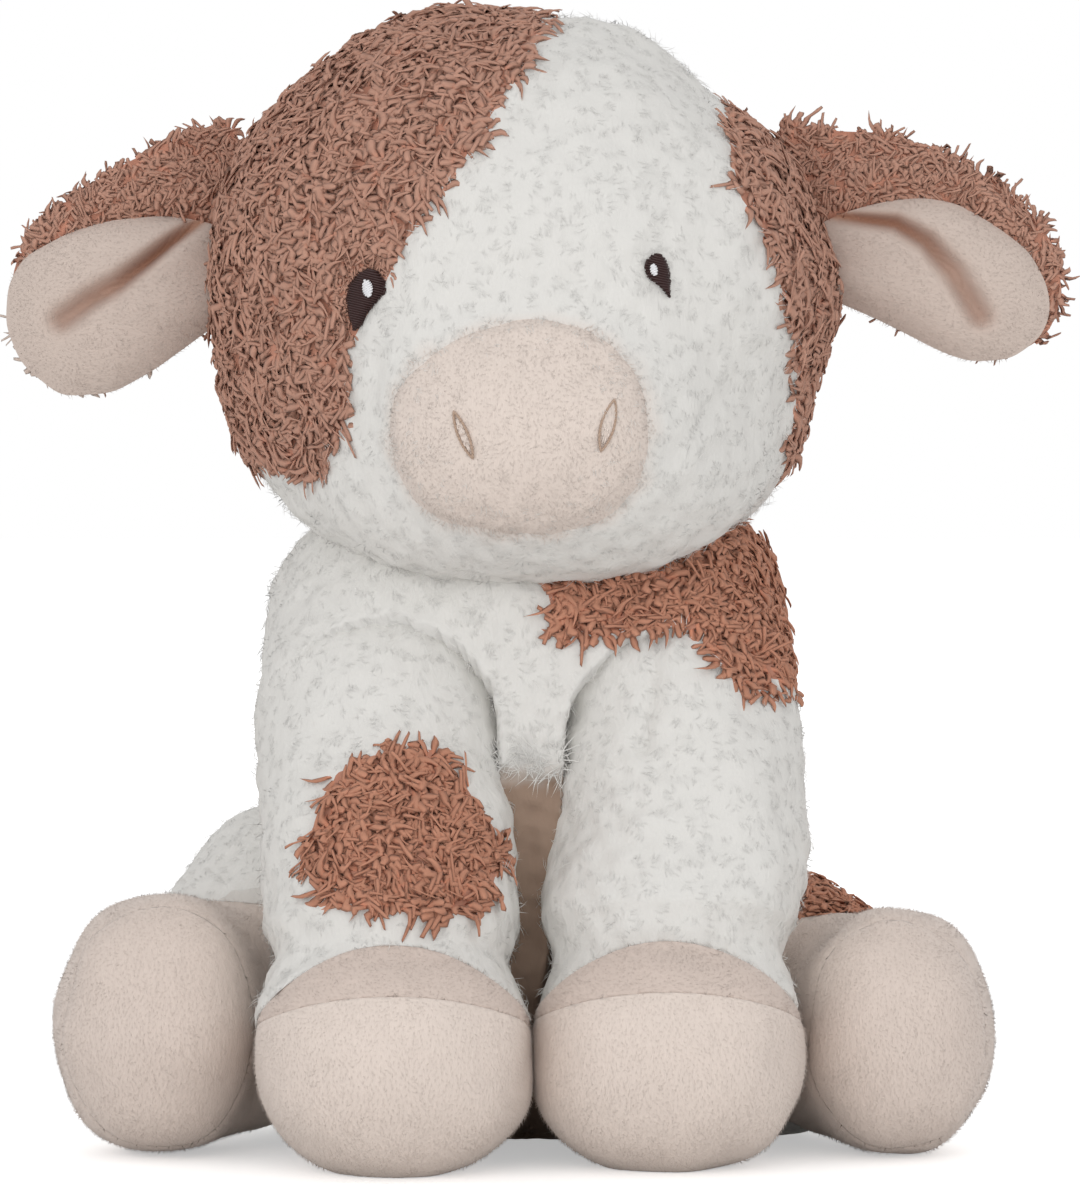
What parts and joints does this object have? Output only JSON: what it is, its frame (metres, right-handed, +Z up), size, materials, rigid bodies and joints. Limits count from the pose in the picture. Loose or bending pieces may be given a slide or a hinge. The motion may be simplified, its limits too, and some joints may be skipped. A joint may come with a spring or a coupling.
{
  "type": "plush cow",
  "caption": "Sitting plush cow with a curly white and brown coat, short-pile muzzle, ears and feet, embroidered eyes, and sewn stuffed head, legs and tail that flex.",
  "frame": {"origin": "middle of the base that the cow sits on, under the centre of its overall box", "axes": "+Z up, the face looks along -Y, the cow's own left side is at +X"},
  "size_m": [0.1758, 0.1346, 0.1974],
  "materials": {
    "white_fur": "curly off-white pile",
    "brown_fur": "curly cocoa-brown pile in wavy locks",
    "pink_velour": "short brushed pile, pale pink-beige",
    "ear_velour": "short brushed pile, pale beige",
    "stuffing": "loose white fibre",
    "pellet_cloth": "plain woven bag",
    "eye_thread": "dark brown satin stitch",
    "highlight_thread": "white satin stitch",
    "nostril_thread": "beige outline stitch"
  },
  "bodies": {
    "head": {"head_stuffing": "stuffing", "face_panel": "white_fur", "head_patch_right": "brown_fur", "head_patch_left": "brown_fur", "muzzle_panel": "pink_velour", "muzzle_stuffing": "stuffing", "nostril_right": "nostril_thread", "nostril_left": "nostril_thread", "eye_right": "eye_thread", "eye_highlight_right": "highlight_thread", "eye_left": "eye_thread", "eye_highlight_left": "highlight_thread"},
    "ear_right": {"ear_back_right": "brown_fur", "ear_lining_right": "ear_velour"},
    "ear_left": {"ear_back_left": "brown_fur", "ear_lining_left": "ear_velour"},
    "neck": {"neck_stuffing": "stuffing"},
    "tail": {"tail": "white_fur", "tail_tuft": "brown_fur"},
    "torso": {"torso_panel_right": "white_fur", "torso_panel_left": "white_fur", "shoulder_patch": "brown_fur", "seat_pellet_bag": "pellet_cloth", "torso_stuffing": "stuffing"},
    "front_leg_right": {"knee_patch_right": "brown_fur", "front_leg_right": "white_fur", "front_foot_upper_right": "pink_velour", "front_foot_sole_right": "pink_velour", "front_leg_stuffing_right": "stuffing"},
    "front_leg_left": {"front_leg_left": "white_fur", "front_foot_upper_left": "pink_velour", "front_foot_sole_left": "pink_velour", "front_leg_stuffing_left": "stuffing"},
    "rear_leg_right": {"rear_leg_right": "white_fur", "rear_foot_upper_right": "pink_velour", "rear_foot_sole_right": "pink_velour", "rear_leg_stuffing_right": "stuffing"},
    "rear_leg_left": {"thigh_patch_left": "brown_fur", "rear_leg_left": "white_fur", "rear_foot_upper_left": "pink_velour", "rear_foot_sole_left": "pink_velour", "rear_leg_stuffing_left": "stuffing"}
  },
  "joints": [
    {"name": "neck_turn", "type": "hinge", "parent": "torso", "child": "neck", "pos_m": [0.00006, 0.00558, 0.105], "axis": [0, 0, 1], "range_deg": [-15, 15], "stiffness_Nm_per_rad": 0.6},
    {"name": "head_nod", "type": "hinge", "parent": "neck", "child": "head", "pos_m": [0.00006, 0.00558, 0.105], "axis": [1, 0, 0], "range_deg": [-6, 6], "stiffness_Nm_per_rad": 2},
    {"name": "ear_right_swing", "type": "hinge", "parent": "head", "child": "ear_right", "pos_m": [-0.04932, 0.00812, 0.15667], "axis": [-0.3742, 0.0162, 0.9272], "range_deg": [-25, 25], "stiffness_Nm_per_rad": 0.02},
    {"name": "ear_left_swing", "type": "hinge", "parent": "head", "child": "ear_left", "pos_m": [0.0478, 0.00302, 0.16346], "axis": [0.2415, -0.0162, 0.9703], "range_deg": [-25, 25], "stiffness_Nm_per_rad": 0.02},
    {"name": "front_leg_right_lift", "type": "hinge", "parent": "torso", "child": "front_leg_right", "pos_m": [-0.02544, -0.01242, 0.076], "axis": [-1, 0, 0], "range_deg": [0, 50], "stiffness_Nm_per_rad": 0.4},
    {"name": "front_leg_left_lift", "type": "hinge", "parent": "torso", "child": "front_leg_left", "pos_m": [0.02556, -0.01242, 0.076], "axis": [-1, 0, 0], "range_deg": [0, 50], "stiffness_Nm_per_rad": 0.4},
    {"name": "rear_leg_right_splay", "type": "hinge", "parent": "torso", "child": "rear_leg_right", "pos_m": [-0.03844, 0.00958, 0.0245], "axis": [0, 0, -1], "range_deg": [0, 20], "stiffness_Nm_per_rad": 0.4},
    {"name": "rear_leg_left_splay", "type": "hinge", "parent": "torso", "child": "rear_leg_left", "pos_m": [0.03856, 0.00958, 0.0245], "axis": [0, 0, 1], "range_deg": [0, 20], "stiffness_Nm_per_rad": 0.4},
    {"name": "tail_wag", "type": "hinge", "parent": "torso", "child": "tail", "pos_m": [0.00006, 0.04916, 0.034], "axis": [0, 0, 1], "range_deg": [-25, 25], "stiffness_Nm_per_rad": 0.02}
  ]
}
